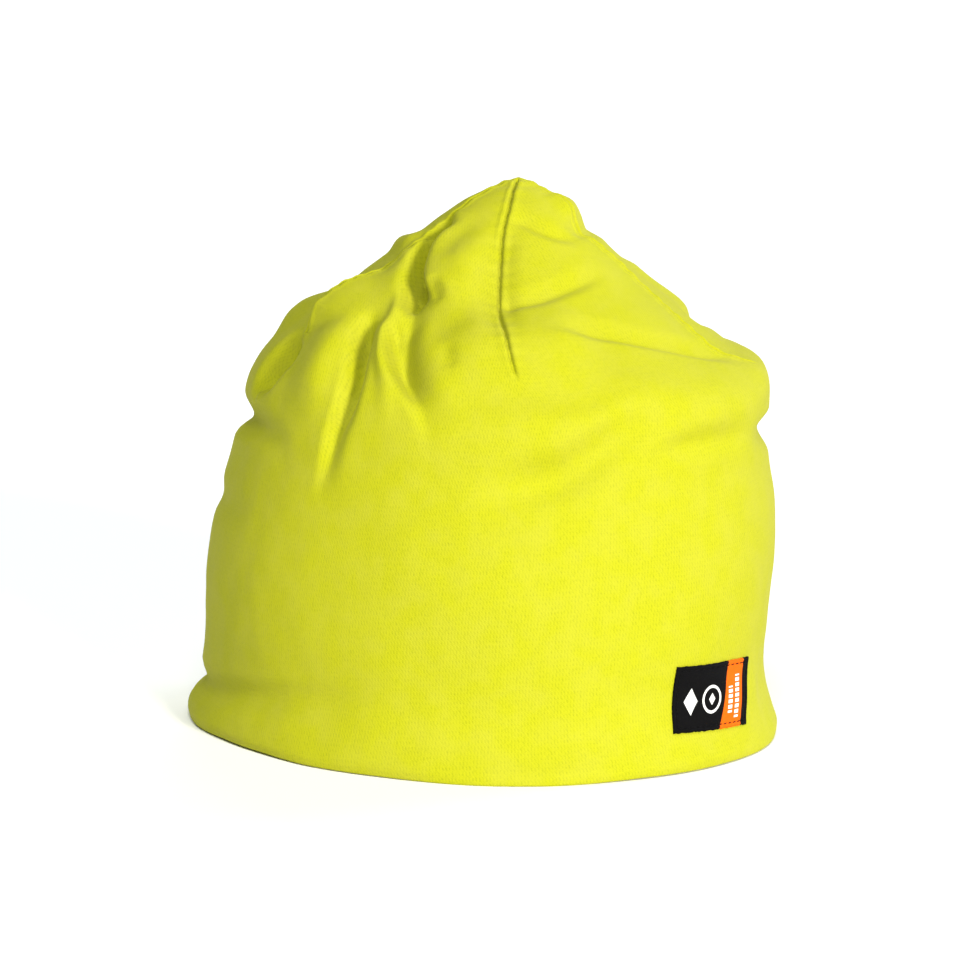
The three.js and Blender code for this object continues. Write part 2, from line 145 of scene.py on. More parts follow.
FOLDS = (
    # gathers on the wearer's right, between the right dart and the back dart
    Fold("right_dip", -2.2, 9, 9, ((-61, 148), (-64, 168), (-67, 190), (-67, 212))),
    Fold("right_fill", 3.5, 24, 22, ((-84, 152), (-60, 153), (-32, 153))),
    Fold("right_slump", -2.2, 15, 15, ((-86, 125), (-60, 127), (-30, 127))),
    Fold("middle_lobe", 5, 13, 15, ((-79, 156), (-82, 174), (-86, 190), (-92, 206)), ends=(0.45, 0.4)),
    Fold("gully_high", -10.5, 10, 4.5,
         ((-125, 208), (-121, 199), (-117, 192), (-111, 185), (-104, 176), (-98, 167), (-95, 158)),
         sharp=0.2, ends=(0.15, 0.35)),
    Fold("pocket", -2.5, 5, 6, ((-93, 177), (-84, 167)), ends=(0.3, 0.5)),
    Fold("gully_low", -8.5, 14, 3.8,
         ((-100, 165), (-97, 158), (-94.5, 151), (-92, 145), (-89, 137), (-85.7, 129), (-81.7, 119),
          (-78, 109)), sharp=0.4, ends=(0.2, 0.6)),
    Fold("gully_back", -9.5, 8.5, 3.6,
         ((-109, 164), (-107, 154), (-104, 144), (-102.3, 133), (-101.8, 121), (-102.8, 111), (-103, 101),
          (-103.5, 86)), sharp=0.4, ends=(0.2, 0.62)),
    Fold("ridge_back", 3, 5, 6,
         ((-110, 180), (-101, 168), (-96.5, 158), (-93.5, 146), (-91, 130), (-90, 112)), ends=(0.35, 0.5)),
    Fold("back_lobe", 3.8, 11, 19, ((-120, 172), (-115, 156), (-112, 141), (-110, 108)), ends=(0.4, 0.45)),
    Fold("pit", -11, 15, 12, ((-133.5, 127), (-131.5, 136)), ends=(0, 0)),
    Fold("seam_step", 5.2, 26, 5.5, ((-133.5, 184), (-133, 170), (-131.5, 158), (-129, 148)), sharp=0.2,
         ends=(0.5, 0.25)),
    Fold("back_bump", 3.4, 17, 17, ((-145, 146), (-160, 152), (-178, 152)), ends=(0.4, 0.5)),
    Fold("back_dent", -5, 9, 9, ((-190, 106), (-160, 107), (-133, 108), (-121, 106), (-111, 99)),
         ends=(0.25, 0.4)),
    Fold("side_dip", -1.7, 9, 9, ((-178, 78), (-150, 78), (-120, 80)), ends=(0.3, 0.4)),
    Fold("middle_edge", 3.6, 10, 3.6,
         ((-117, 213), (-112, 201), (-106, 191), (-97, 181), (-90, 173), (-85, 166)), slide=-1.5),
    Fold("high_crest", 1.2, 4, 9, ((-128, 198), (-125.5, 191), (-121.5, 185), (-113, 176), (-105, 166)),
         sharp=0.3),
    Fold("low_crest", 1.5, 3.5, 8, ((-101, 161), (-97.5, 151), (-94.5, 141), (-91, 129)), sharp=0.4,
         ends=(0.2, 0.5)),
    Fold("dimple", -1, 5, 5, ((-76, 143), (-77, 147)), ends=(0, 0)),
    # creases and soft valleys on the front right
    Fold("crease_high", -2.4, 8, 5, ((-66, 170), (-53, 171), (-34.5, 177), (-6, 184)), sharp=0.5,
         ends=(0.1, 0.5)),
    Fold("crease_low", -2.6, 9, 5, ((-54, 158), (-33.5, 155.5), (-16.5, 148.5), (4, 139.5), (14, 134)),
         sharp=0.3),
    Fold("crease_tip", -1.8, 5, 5, ((-64, 209), (-50, 206.5), (-33, 201.5), (-8, 196.5)), sharp=0.3,
         ends=(0.2, 0.4)),
    Fold("broad_valley", -4.2, 14, 12,
         ((-72, 92), (-62, 97), (-51, 101), (-43.5, 109), (-35, 116), (-20, 122)), ends=(0.4, 0.4)),
    Fold("front_valley", -2.4, 8, 7, ((-40, 105), (-19, 109), (6.5, 109)), ends=(0.4, 0.4)),
    Fold("shoulder_notch", -4, 8, 10, ((-4, 109), (28, 106), (62, 105)), ends=(0.35, 0.35)),
    # the gathered tip
    Fold("tip_front", 2, 8, 8, ((-20, 212), (20, 211.5), (55, 210))),
    Fold("tip_notch", -2, 7, 7, ((-30, 202), (0, 202), (35, 200.5), (65, 202))),
    Fold("tip_back", 2.2, 8, 8, ((-130, 196), (-150, 193), (-175, 190))),
    # gathers on the wearer's left
    Fold("left_dip", -2, 9, 9, ((118, 146), (114, 168), (110, 190), (110, 212))),
    Fold("left_gully", -5.5, 8, 8, ((70, 188), (72, 170), (68, 152), (60, 134), (56, 116)), sharp=0.2,
         ends=(0.35, 0.5)),
    Fold("left_lobe", 4.5, 14, 12, ((90, 196), (90, 172), (88, 150), (84, 128)), ends=(0.4, 0.4)),
    Fold("far_lobe", 4, 13, 13, ((134, 190), (132, 168), (131, 146), (128, 124)), ends=(0.4, 0.4)),
    Fold("far_gully", -6.5, 8, 10, ((158, 204), (150, 186), (150, 166), (153, 148), (148, 128), (146, 110)),
         sharp=0.2, ends=(0.35, 0.5)),
    Fold("left_crease", -2.2, 8, 5, ((112, 166), (128, 172), (146, 180)), sharp=0.4, ends=(0.1, 0.5)),
    Fold("front_fill", 1.6, 11, 11, ((36, 187), (38, 170), (36, 152)), ends=(0.25, 0.25)),
    Fold("shoulder", 2.2, 12, 12, ((58, 129), (30, 129), (4, 125)), ends=(0.25, 0.3)),
    Fold("back_fill", 0.9, 14, 14, ((-166, 196), (-163, 180), (-160, 168))),
    Fold("front_crease", -2.4, 8, 6, ((56, 142), (38, 150), (20, 158)), sharp=0.3, ends=(0.3, 0.2)),
    Fold("left_slump", -2.6, 15, 15, ((48, 124), (84, 121), (122, 123), (160, 125)), ends=(0.25, 0.25)),
    Fold("left_valley", -3, 11, 11, ((70, 92), (98, 100), (130, 108), (160, 116)), ends=(0.4, 0.4)),
    # the hollow above the hem's roll
    Fold("hem_valley_right", -3.4, 8, 8, ((-190, 13.5), (-146, 13.5), (-118, 18), (-100, 22), (-75, 26)),
         ends=(0.2, 0.5)),
    Fold("hem_valley_left", -1.8, 8, 8, ((60, 23), (100, 25), (140, 22))),
    # the hem's foot, slightly out of round
    Fold("hem_in_right", -2.4, 20, 20, ((-140, -6), (-117, -6), (-96, -6)), ends=(0.4, 0.4)),
    Fold("hem_out_right", 3, 20, 20, ((-86, -6), (-56, -6), (-30, -6)), ends=(0.45, 0.45)),
    Fold("hem_out_front", 3.6, 11, 11, ((-10, -6), (6, -6), (22, -6)), ends=(0.45, 0.45)),
    # fuller cloth under the patch
    Fold("label_fill", 1.7, 15, 14, ((-22, 21), (-6, 21), (14, 21)), ends=(0.35, 0.3)),
    # the foot again, on the wearer's left
    Fold("hem_in_left", -2.4, 18, 18, ((22, -6), (44, -6), (66, -6)), ends=(0.4, 0.4)),
)


def ease(share: np.ndarray) -> np.ndarray:
    """Go from 0 to 1 with a level start and end."""
    t = np.clip(share, 0.0, 1.0)
    return t * t * (3.0 - 2.0 * t)


def through(xs: np.ndarray, ys: np.ndarray, x: np.ndarray) -> np.ndarray:
    """Follow a smooth curve through a table's points.

    Args:
        xs: Rising places of the table's rows.
        ys: Values of the rows.
        x: Places to read the curve at; past the ends the end values hold.

    Returns:
        The curve's values at x.
    """
    gap = np.diff(xs)
    slope = np.diff(ys) / gap
    inner = (slope[1:] * gap[:-1] + slope[:-1] * gap[1:]) / (gap[1:] + gap[:-1])
    tangent = np.concatenate([slope[:1], inner, slope[-1:]])
    x = np.clip(x, xs[0], xs[-1])
    i = np.clip(np.searchsorted(xs, x, side="right") - 1, 0, len(xs) - 2)
    t = (x - xs[i]) / gap[i]
    start = ys[i] * (1 + 2 * t) * (1 - t) ** 2 + gap[i] * tangent[i] * t * (1 - t) ** 2
    end = ys[i + 1] * t * t * (3 - 2 * t) + gap[i] * tangent[i + 1] * t * t * (t - 1)
    return start + end


def turn_between(start: np.ndarray, end: np.ndarray) -> np.ndarray:
    """Measure the shortest way round from one turn to another, in degrees."""
    return (end - start + FULL_TURN / 2) % FULL_TURN - FULL_TURN / 2


@dataclass(frozen=True)
class Waves:
    """Slight unevenness of hand-smoothed cloth: noise of one size and height."""

    size: float
    height: float
    seed: float


class CapShape:
    """Outer face of the cap, worked out from its sections, darts and folds."""

    DIAGONAL = 30.0
    TIP_FADE = 5.0
    CALM_FOOT = 6.0
    DRIFT_NEAR = 4.0
    DRIFT_FAR = 30.0
    LEAST_HALF = 3.0
    PATH_STEP = 0.9
    PROBE = 1.0
    UNEVEN = (Waves(46.0, 0.9, 3.0), Waves(17.0, 0.35, 11.0), Waves(7.0, 0.12, 23.0))

    def __init__(self, sections: tuple, darts: tuple, folds: tuple) -> None:
        """Lay the tables out as columns.

        Args:
            sections: Level sections from the hem up.
            darts: The four darts, in order round the cap.
            folds: The cloth's folds.
        """
        self.sections = {
            name: np.array([getattr(section, name) for section in sections], float)
            for name in ("rise", "height", "half", "lean", "ratio")
        }
        self.tip = sections[-1].rise
        self.darts = darts
        self.folds = [(fold, self._sample(fold.path)) for fold in folds]

    def value(self, name: str, rise: np.ndarray) -> np.ndarray:
        """Read one column of the section table at a rise."""
        return through(self.sections["rise"], self.sections[name], rise)

    def halves(self, rise: np.ndarray) -> tuple:
        """Work out the size of the level section at a rise.

        Args:
            rise: Length of cloth above the hem's foot.

        Returns:
            Half its length from front to back and half its width.
        """
        ratio = self.value("ratio", rise)
        diagonal = math.radians(self.DIAGONAL)
        along = self.value("half", rise) / np.hypot(math.cos(diagonal), ratio * math.sin(diagonal))
        return along, along * ratio

    def per_degree(self, rise: np.ndarray) -> np.ndarray:
        """Work out the mean millimetres to a degree of turn at a rise."""
        along, across = self.halves(rise)
        return np.radians(np.maximum((along + across) / 2, self.LEAST_HALF))

    def plain(self, turn: np.ndarray, rise: np.ndarray) -> np.ndarray:
        """Place points on the cap before its folds.

        Args:
            turn: Degrees from the front towards the wearer's left.
            rise: Length of cloth above the hem's foot.

        Returns:
            Points, one row each.
        """
        along, across = self.halves(rise)
        lean = self.value("lean", rise)
        angle = np.radians(turn)
        diagonal = math.radians(self.DIAGONAL)
        x = lean * math.sin(diagonal) + across * np.sin(angle)
        y = -lean * math.cos(diagonal) - along * np.cos(angle)
        return np.stack([x, y, self.value("height", rise)], -1)

    def _around(self, turn: np.ndarray, rise: np.ndarray) -> np.ndarray:
        """Find the way round the plain cap, towards the wearer's left."""
        return self.plain(turn + self.PROBE, rise) - self.plain(turn - self.PROBE, rise)

    def outward(self, turn: np.ndarray, rise: np.ndarray) -> np.ndarray:
        """Find the plain cap's outward directions, upright at the foot's edge and at the tip.

        Args:
            turn: Degrees from the front towards the wearer's left.
            rise: Length of cloth above the hem's foot.

        Returns:
            Unit vectors, one row each.
        """
        turn, rise = np.broadcast_arrays(turn, rise)
        around = self._around(turn, rise)
        below = np.clip(rise - self.PROBE, 0.0, self.tip - 2 * self.PROBE)
        up = self.plain(turn, below + 2 * self.PROBE) - self.plain(turn, below)
        up[rise <= 0.0] = (0.0, 0.0, 1.0)
        normal = np.cross(around, up)
        normal[rise >= self.tip] = (0.0, 0.0, 1.0)
        return normal / np.maximum(np.linalg.norm(normal, axis=-1, keepdims=True), 1e-9)

    def _sample(self, path: tuple) -> dict:
        """Turn a fold's corners into evenly placed points of a smooth line.

        Args:
            path: Corners as (turn, rise).

        Returns:
            Arrays of turn, rise, scale, direction and run for the line's points, and its length.
        """
        corners = np.array(path, float)
        ends = np.vstack([2 * corners[0] - corners[1], corners, 2 * corners[-1] - corners[-2]])
        pieces = []
        for a, b, c, d in zip(ends, ends[1:], ends[2:], ends[3:]):
            scale = float(self.per_degree((b[1] + c[1]) / 2))
            count = max(2, int(math.hypot((c[0] - b[0]) * scale, c[1] - b[1]) / self.PATH_STEP))
            t = np.linspace(0, 1, count, endpoint=False)[:, None]
            pieces.append(0.5 * (2 * b + (c - a) * t + (2 * a - 5 * b + 4 * c - d) * t**2
                                 + (3 * b - a - 3 * c + d) * t**3))
        line = np.vstack(pieces + [corners[-1:]])
        scale = self.per_degree(line[:, 1])
        step = np.gradient(line, axis=0)
        size = np.hypot(step[:, 0] * scale, step[:, 1])
        legs = np.hypot(np.diff(line[:, 0]) * scale[1:], np.diff(line[:, 1]))
        run = np.concatenate([[0.0], np.cumsum(legs)])
        return {
            "turn": line[:, 0], "rise": line[:, 1], "scale": scale, "run": run, "length": run[-1],
            "to_turn": step[:, 0] * scale / size, "to_rise": step[:, 1] / size,
        }

    def _fold_moves(self, fold: Fold, line: dict, turn: np.ndarray, rise: np.ndarray) -> tuple:
        """Work out how far one fold moves each place.

        Args:
            fold: The fold.
            line: Its sampled line.
            turn: Turns of the places.
            rise: Rises of the places.

        Returns:
            The fold's share of 0 to 1 at each place, and the direction to its line's left, as
            shares along the turn and along the rise.
        """
        dx = turn_between(line["turn"][None, :], turn[:, None]) * line["scale"][None, :]
        dy = rise[:, None] - line["rise"][None, :]
        nearest = np.argmin(dx * dx + dy * dy, axis=1)
        each = np.arange(len(turn))
        dx, dy = dx[each, nearest], dy[each, nearest]
        to_turn, to_rise = line["to_turn"][nearest], line["to_rise"][nearest]
        side = to_turn * dy - to_rise * dx
        run = line["run"][nearest] + to_turn * dx + to_rise * dy
        reach = np.where(side >= 0, fold.left, fold.right)
        beyond = np.maximum(np.maximum(-run, run - line["length"]), 0.0)
        q = np.minimum(np.hypot(side, beyond) / reach, 1.0)
        share = (1 - fold.sharp) * (1 - q * q) ** 3 + fold.sharp * (1 - q) ** 2
        grow, die = fold.ends
        if grow > 0:
            share = share * ease(run / line["length"] / grow)
        if die > 0:
            share = share * ease((1 - run / line["length"]) / die)
        return share, -to_rise, to_turn

    def folded(self, turn: np.ndarray, rise: np.ndarray) -> tuple:
        """Sum the folds at each place.

        Args:
            turn: Turns of the places.
            rise: Rises of the places.

        Returns:
            How far the cloth moves outward, round the cap and up the cap.
        """
        moves = np.zeros((3, len(turn)))
        for fold, line in self.folds:
            reach = max(fold.left, fold.right)
            near = (rise > line["rise"].min() - reach) & (rise < line["rise"].max() + reach)
            if not near.any():
                continue
            share, left_turn, left_rise = self._fold_moves(fold, line, turn[near], rise[near])
            moves[0, near] += fold.out * share
            moves[1, near] += fold.slide * share * left_turn
            moves[2, near] += fold.slide * share * left_rise
        return moves * ease((self.tip - rise) / self.TIP_FADE)

    def uneven(self, points: np.ndarray) -> np.ndarray:
        """Work out the cloth's slight unevenness.

        Args:
            points: Points of the plain cap, one row each.

        Returns:
            How far each stands out.
        """
        total = np.zeros(len(points))
        for waves in self.UNEVEN:
            shift = Vector((waves.seed, waves.seed, waves.seed))
            total += waves.height * np.array([noise.noise(Vector(p) / waves.size + shift) for p in points])
        return total

    def cloth(self, turn: np.ndarray, rise: np.ndarray, off: np.ndarray) -> np.ndarray:
        """Place points on or near the folded cloth.

        Args:
            turn: Degrees from the front towards the wearer's left.
            rise: Length of cloth above the hem's foot.
            off: How far the point stands off the outer face, or in if negative.

        Returns:
            Points in millimetres, one row each.
        """
        turn, rise, off = (np.asarray(a, float) for a in np.broadcast_arrays(turn, rise, off))
        points = self.plain(turn, rise)
        normal = self.outward(turn, rise)
        around = self._around(turn, rise)
        around /= np.maximum(np.linalg.norm(around, axis=-1, keepdims=True), 1e-9)
        out, round_cap, up_cap = self.folded(turn, rise)
        calm = ease(rise / self.CALM_FOOT) * ease((self.tip - rise) / self.TIP_FADE)
        out = out + self.uneven(points) * calm + off
        return (points + normal * out[:, None] + around * round_cap[:, None]
                + np.cross(normal, around) * up_cap[:, None])

    def dart_turn(self, dart: Dart, rise: np.ndarray) -> np.ndarray:
        """Find where a dart's seam runs at a rise."""
        path = np.array(dart.path, float)
        return through(path[:, 1], path[:, 0], rise)

    def column_turn(self, turn: np.ndarray, rise: np.ndarray) -> np.ndarray:
        """Bend the net's columns along with the darts beside them.

        Args:
            turn: Turns of the columns before they bend.
            rise: Rises of the places.

        Returns:
            The turns of the places.
        """
        bent = turn.copy()
        for dart in self.darts:
            beside = np.abs(turn_between(dart.turn, turn))
            follow = 1.0 - ease((beside - self.DRIFT_NEAR) / (self.DRIFT_FAR - self.DRIFT_NEAR))
            bent += follow * (self.dart_turn(dart, rise) - dart.turn)
        return bent


# Materials


def linear(hex_colour: str) -> tuple:
    """Turn an sRGB hex colour to linear values with an alpha of 1."""
    channels = [int(hex_colour[i:i + 2], 16) / 255 for i in (1, 3, 5)]
    return tuple(c / 12.92 if c <= 0.04045 else ((c + 0.055) / 1.055) ** 2.4 for c in channels) + (1.0,)


def add_node(tree: bpy.types.NodeTree, kind: str, settings: dict, links: dict) -> bpy.types.Node:
    """Add a node with its settings and links.

    Args:
        tree: The material's node tree.
        kind: The node's type name.
        settings: Values by the node's own property names, or by its inputs' names or numbers.
        links: Output sockets by the names or numbers of the inputs that they feed.

    Returns:
        The node.
    """
    node = tree.nodes.new(kind)
    for name, value in settings.items():
        if isinstance(name, str) and hasattr(node, name):
            setattr(node, name, value)
        else:
            node.inputs[name].default_value = value
    for name, source in links.items():
        tree.links.new(source, node.inputs[name])
    return node


class Pattern:
    """Sums in a material's nodes, each value an output socket or a number."""

    def __init__(self, tree: bpy.types.NodeTree) -> None:
        """Work in one material's tree."""
        self.tree = tree

    def sum(self, operation: str, *values: object, clamp: bool = False) -> bpy.types.NodeSocket:
        """Add one Math node.

        Args:
            operation: The node's operation.
            values: Its inputs in order, sockets or numbers.
            clamp: True to keep the result between 0 and 1.

        Returns:
            The result's socket.
        """
        numbers = {i: v for i, v in enumerate(values) if isinstance(v, (int, float))}
        sockets = {i: v for i, v in enumerate(values) if not isinstance(v, (int, float))}
        settings = {"operation": operation, "use_clamp": clamp, **numbers}
        return add_node(self.tree, "ShaderNodeMath", settings, sockets).outputs[0]

    def step(self, value: bpy.types.NodeSocket, start: float, end: float) -> bpy.types.NodeSocket:
        """Go smoothly from 0 at start to 1 at end."""
        settings = {"interpolation_type": "SMOOTHSTEP", "From Min": start, "From Max": end}
        return add_node(self.tree, "ShaderNodeMapRange", settings, {"Value": value}).outputs["Result"]

    def mix(self, share: object, first: object, second: object) -> bpy.types.NodeSocket:
        """Mix two colours.

        Args:
            share: Share of the second colour, a socket or a number.
            first: First colour, a socket or a linear colour.
            second: Second colour, likewise.

        Returns:
            The mixed colour's socket.
        """
        settings, links = {"data_type": "RGBA"}, {}
        for name, value in (("Factor", share), (6, first), (7, second)):
            if isinstance(value, (tuple, float)):
                settings[name] = value
            else:
                links[name] = value
        return add_node(self.tree, "ShaderNodeMix", settings, links).outputs[2]

    def away(self, value: bpy.types.NodeSocket, middle: float, half: float) -> bpy.types.NodeSocket:
        """Measure how far a value lies from a middle, in halves."""
        return self.sum("DIVIDE", self.sum("ABSOLUTE", self.sum("SUBTRACT", value, middle)), half)

    def uv(self, name: str) -> tuple:
        """Read a UV map.

        Args:
            name: The map's name.

        Returns:
            Its two sockets, in millimetres.
        """
        uv_map = add_node(self.tree, "ShaderNodeUVMap", {"uv_map": name}, {})
        parts = add_node(self.tree, "ShaderNodeSeparateXYZ", {}, {0: uv_map.outputs["UV"]})
        return tuple(self.sum("MULTIPLY", parts.outputs[i], 1 / MM) for i in range(2))

    def cloudy(self, size: float, detail: float = 2.0) -> bpy.types.NodeSocket:
        """Make noise over the object.

        Args:
            size: Real size of its patches in millimetres.
            detail: The noise's detail.

        Returns:
            The noise's socket.
        """
        place = add_node(self.tree, "ShaderNodeTexCoord", {}, {})
        settings = {"Scale": 1 / (size * MM), "Detail": detail}
        links = {"Vector": place.outputs["Object"]}
        return add_node(self.tree, "ShaderNodeTexNoise", settings, links).outputs[0]


def new_material(name: str) -> tuple:
    """Make an empty node material.

    Args:
        name: The material's name.

    Returns:
        The material, its Principled shader and a Pattern on its tree.
    """
    material = bpy.data.materials.new(name)
    material.use_nodes = True
    return material, material.node_tree.nodes["Principled BSDF"], Pattern(material.node_tree)


def finish_surface(material: bpy.types.Material, colour: bpy.types.NodeSocket,
                   height: bpy.types.NodeSocket, relief: float, strength: float = 1.0) -> None:
    """Give a material its colour and its relief.

    Args:
        material: The material, with its Principled shader.
        colour: The colour over the surface.
        height: The relief's height over the surface.
        relief: Real height of the relief in millimetres.
        strength: How much of it shows.
    """
    tree = material.node_tree
    shader = tree.nodes["Principled BSDF"]
    bump = add_node(tree, "ShaderNodeBump", {"Strength": strength, "Distance": relief * MM},
                    {"Height": height})
    tree.links.new(colour, shader.inputs["Base Color"])
    tree.links.new(bump.outputs["Normal"], shader.inputs["Normal"])


@dataclass(frozen=True)
class Jersey:
    """Flame-retardant cotton jersey, weft-knitted and dyed fluorescent yellow.

    Knitting gives upright wales with small V stitches, the napped cotton a dull soft sheen, and the
    fluorescent dye a strong colour. The low gaps between the wales are painted darker and greener: this
    is painted shade. Wale and course are a little wider than the real 0.8 and 0.6 mm, so that the
    stitches show. A share is how much its part of the pattern adds to the relief, and nap_share how much
    of the paler nap shows. A step gives the values of a pattern between which its colour comes in.
    """

    face: str = "#A8AA0B"
    # painted shade: colour of the low gaps between the wales
    gap: str = "#929803"
    nap: str = "#AEAB45"
    wale: float = 1.05
    course: float = 0.72
    twill_across: float = 1.1
    twill_up: float = 1.6
    rib_share: float = 0.3
    rib_shape: float = 2.4
    loop_share: float = 0.1
    loop_slant: float = 0.8
    line_share: float = 0.12
    fuzz: float = 0.9
    fuzz_share: float = 0.9
    nap_size: float = 9.0
    nap_detail: float = 4.0
    nap_share: float = 0.2
    face_step: tuple = (0.3, 1.0)
    nap_step: tuple = (0.3, 0.75)
    relief: float = 0.085
    roughness: float = 0.85
    specular: float = 0.22
    sheen: float = 0.06
    sheen_roughness: float = 0.45
    sheen_tint: str = "#FFE6C0"

    def build(self) -> bpy.types.Material:
        """Make the material.

        Returns:
            The material.
        """
        material, shader, pattern = new_material("fluorescent_jersey")
        u, v = pattern.uv("knit")
        # distance from the middle of the wale, 0 to 1
        across = pattern.sum("FRACT", pattern.sum("DIVIDE", u, self.wale))
        across = pattern.sum("ABSOLUTE", pattern.sum("MULTIPLY_ADD", across, 2.0, -1.0))
        rib = pattern.sum("SUBTRACT", 1.0, pattern.sum("POWER", across, self.rib_shape))
        slant = pattern.sum("MULTIPLY_ADD", across, self.loop_slant, pattern.sum("DIVIDE", v, self.course))
        loop = pattern.sum("COSINE", pattern.sum("MULTIPLY", slant, math.tau))
        # lifted by twice its share, so that it stays above the gap
        loop = pattern.sum("MULTIPLY_ADD", loop, self.loop_share, 2 * self.loop_share)
        height = pattern.sum("MULTIPLY_ADD", rib, self.rib_share, loop)
        # the stitches' near legs line up into faint slanting lines
        lines = pattern.sum("ADD", pattern.sum("DIVIDE", u, self.twill_across),
                            pattern.sum("DIVIDE", v, self.twill_up))
        lines = pattern.sum("COSINE", pattern.sum("MULTIPLY", lines, math.tau))
        height = pattern.sum("MULTIPLY_ADD", lines, self.line_share, height)
        height = pattern.sum("MULTIPLY_ADD", pattern.cloudy(self.fuzz), self.fuzz_share, height)
        # painted shade: darker, greener gaps between the wales; slow changes of the paler nap over the cloth
        colour = pattern.mix(pattern.step(height, *self.face_step), linear(self.gap), linear(self.face))
        nap = pattern.step(pattern.cloudy(self.nap_size, self.nap_detail), *self.nap_step)
        colour = pattern.mix(pattern.sum("MULTIPLY", nap, self.nap_share), colour, linear(self.nap))
        finish_surface(material, colour, height, self.relief)
        shader.inputs["Roughness"].default_value = self.roughness
        shader.inputs["Specular IOR Level"].default_value = self.specular
        shader.inputs["Sheen Weight"].default_value = self.sheen
        shader.inputs["Sheen Roughness"].default_value = self.sheen_roughness
        shader.inputs["Sheen Tint"].default_value = linear(self.sheen_tint)
        return material


@dataclass(frozen=True)
class WovenPolyester:
    """Damask-woven polyester of a sew-on patch: a satin ground with a band and plain motifs.

    Weaving gives fine ribs across the patch and a faint shine along them. The threads are drawn about
    twice as wide as real ones, so that they show. Places are x and y on the patch from its middle: a
    lozenge and the ring are given as middle and half width and height, a row of dashes as its middle
    and its lower and upper end. soft is how far an edge of the weave blurs to either side. A step
    gives the values of a pattern between which a mark or colour comes in.
    """

    ground: str = "#0B0B0D"
    # painted shade for the low places between the threads
    shade: str = "#040405"
    band: str = "#DC5F0C"
    mark: str = "#E9ECEE"
    thread: float = 0.5
    fuzz: float = 0.9
    fuzz_share: float = 0.6
    mark_lift: float = 0.6
    relief: float = 0.05
    roughness: float = 0.75
    specular: float = 0.06
    band_start: float = 3.6
    band_end: float = 13.7
    band_slant: float = 0.13
    band_soft: float = 0.2
    lozenges: tuple = ((-11.2, -1.2, 2.7, 4.6), (-2.6, -0.9, 1.3, 2.1))
    ring: tuple = (-2.6, -0.9, 4.0, 4.9)
    dashes: tuple = ((6.7, -6.4, 2.6), (10.6, -8.2, 6.2))
    dash_half: float = 1.15
    dash_pitch: float = 1.8
    soft: float = 0.1
    lozenge_step: tuple = (1.04, 0.96)
    ring_line: float = 0.9
    ring_step: tuple = (0.11, 0.08)
    dash_step: tuple = (0.36, 0.3)
    ground_step: tuple = (0.3, 1.3)

    def _lozenge(self, pattern: Pattern, x: object, y: object, place: tuple) -> bpy.types.NodeSocket:
        """Draw a filled lozenge.

        Args:
            pattern: The material's sums.
            x: Place across the patch.
            y: Place up the patch.
            place: Its middle and its half width and height.

        Returns:
            1 inside it and 0 outside.
        """
        middle_x, middle_y, half_x, half_y = place
        reach = pattern.sum("ADD", pattern.away(x, middle_x, half_x), pattern.away(y, middle_y, half_y))
        return pattern.step(reach, *self.lozenge_step)

    def _ring(self, pattern: Pattern, x: object, y: object) -> bpy.types.NodeSocket:
        """Draw the oval ring.

        Args:
            pattern: The material's sums.
            x: Place across the patch.
            y: Place up the patch.

        Returns:
            1 on it and 0 elsewhere.
        """
        middle_x, middle_y, half_x, half_y = self.ring
        squares = [pattern.sum("POWER", pattern.away(value, middle, half), 2.0)
                   for value, middle, half in ((x, middle_x, half_x), (y, middle_y, half_y))]
        reach = pattern.sum("SQRT", pattern.sum("ADD", *squares))
        return pattern.step(pattern.away(reach, self.ring_line, 1.0), *self.ring_step)

    def _dashes(self, pattern: Pattern, x: object, y: object) -> bpy.types.NodeSocket:
        """Draw the upright rows of dashes on the band.

        Args:
            pattern: The material's sums.
            x: Place across the patch.
            y: Place up the patch.

        Returns:
            1 on them and 0 elsewhere.
        """
        beat = pattern.sum("FRACT", pattern.sum("DIVIDE", y, self.dash_pitch))
        marks = pattern.step(pattern.away(beat, 0.5, 1.0), *self.dash_step)
        rows = None
        for place, low, high in self.dashes:
            side = pattern.step(pattern.away(x, place, 1.0), self.dash_half + self.soft,
                                self.dash_half - self.soft)
            inside = pattern.sum("MULTIPLY", pattern.step(y, low - self.soft, low + self.soft),
                                 pattern.step(y, high + self.soft, high - self.soft))
            row = pattern.sum("MULTIPLY", side, inside)
            rows = row if rows is None else pattern.sum("MAXIMUM", rows, row)
        return pattern.sum("MULTIPLY", rows, marks)

    def build(self) -> bpy.types.Material:
        """Make the material.

        Returns:
            The material.
        """
        material, shader, pattern = new_material("woven_polyester")
        x, y = pattern.uv("weave")
        slanted = pattern.sum("MULTIPLY_ADD", y, -self.band_slant, x)
        soft = self.band_soft
        band = pattern.sum("MULTIPLY", pattern.step(slanted, self.band_start - soft, self.band_start + soft),
                           pattern.step(x, self.band_end + soft, self.band_end - soft))
        marks = self._ring(pattern, x, y)
        for place in self.lozenges:
            marks = pattern.sum("MAXIMUM", marks, self._lozenge(pattern, x, y, place))
        marks = pattern.sum("MAXIMUM", marks, self._dashes(pattern, x, y))
        warp = pattern.sum("SINE", pattern.sum("MULTIPLY", x, math.tau / self.thread))
        weft = pattern.sum("SINE", pattern.sum("MULTIPLY", y, math.tau / self.thread))
        threads = pattern.sum("MULTIPLY_ADD", pattern.sum("MULTIPLY", warp, weft), 0.5, 0.5)
        threads = pattern.sum("MULTIPLY_ADD", pattern.cloudy(self.fuzz), self.fuzz_share, threads)
        # painted shade: the weave's low places between the threads turn darker
        ground = pattern.mix(pattern.step(threads, *self.ground_step), linear(self.shade),
                             linear(self.ground))
        colour = pattern.mix(band, ground, linear(self.band))
        colour = pattern.mix(marks, colour, linear(self.mark))
        height = pattern.sum("MULTIPLY_ADD", marks, self.mark_lift, threads)
        finish_surface(material, colour, height, self.relief)
        shader.inputs["Roughness"].default_value = self.roughness
        shader.inputs["Specular IOR Level"].default_value = self.specular
        return material


